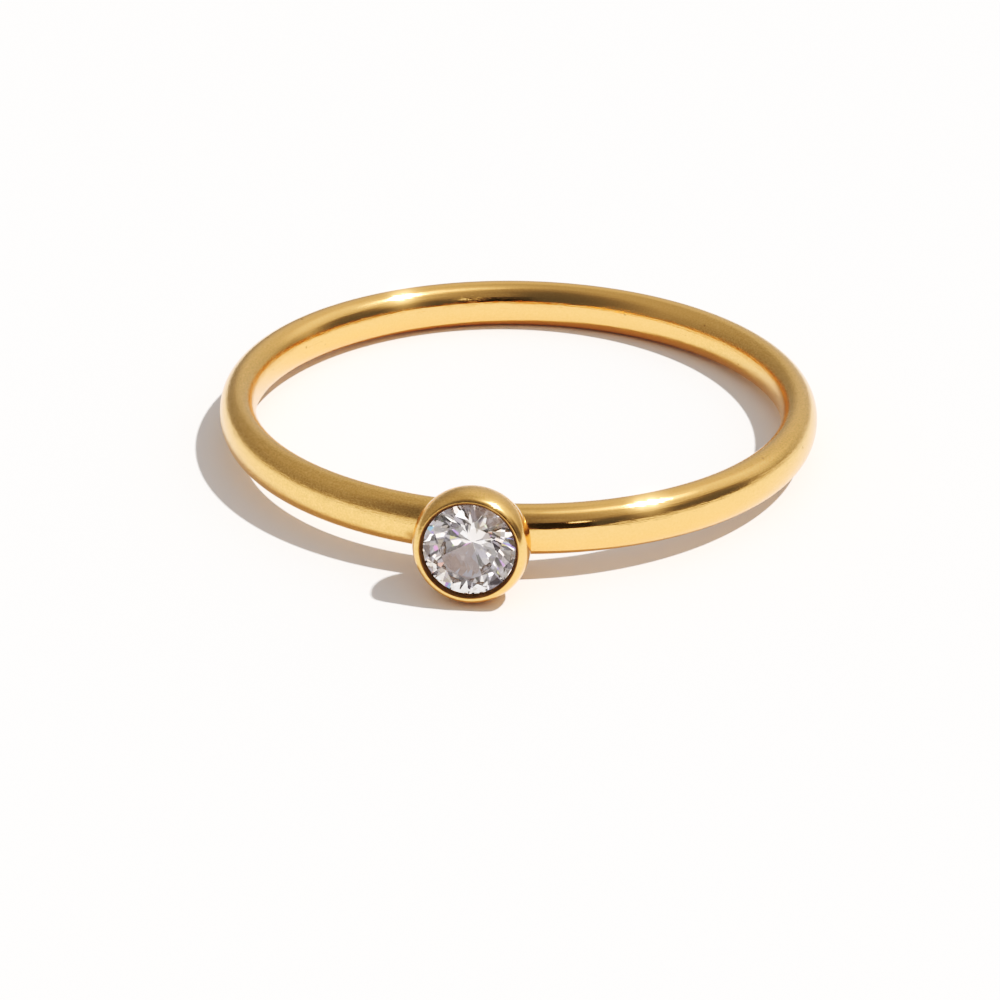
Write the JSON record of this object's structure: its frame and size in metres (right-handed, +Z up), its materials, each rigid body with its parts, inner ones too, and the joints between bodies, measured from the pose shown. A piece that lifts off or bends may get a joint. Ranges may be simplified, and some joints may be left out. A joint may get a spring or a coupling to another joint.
{
  "type": "stackable ring",
  "caption": "Slim polished gold finger ring with an oval-section band and a round-backed bezel cup holding one clear round brilliant stone.",
  "frame": {"origin": "centre of the bounding box in plan, on the surface that the ring lies on", "axes": "+Z up from that surface, -Y from the band's centre towards the stone, +X to the right with the stone in front"},
  "size_m": [0.0196, 0.0216, 0.0035],
  "materials": {
    "gold": "polished gold plating over steel",
    "clear_stone": "clear faceted stone"
  },
  "bodies": {
    "root": {"band_and_bezel": "gold", "stone": "clear_stone"}
  },
  "joints": []
}
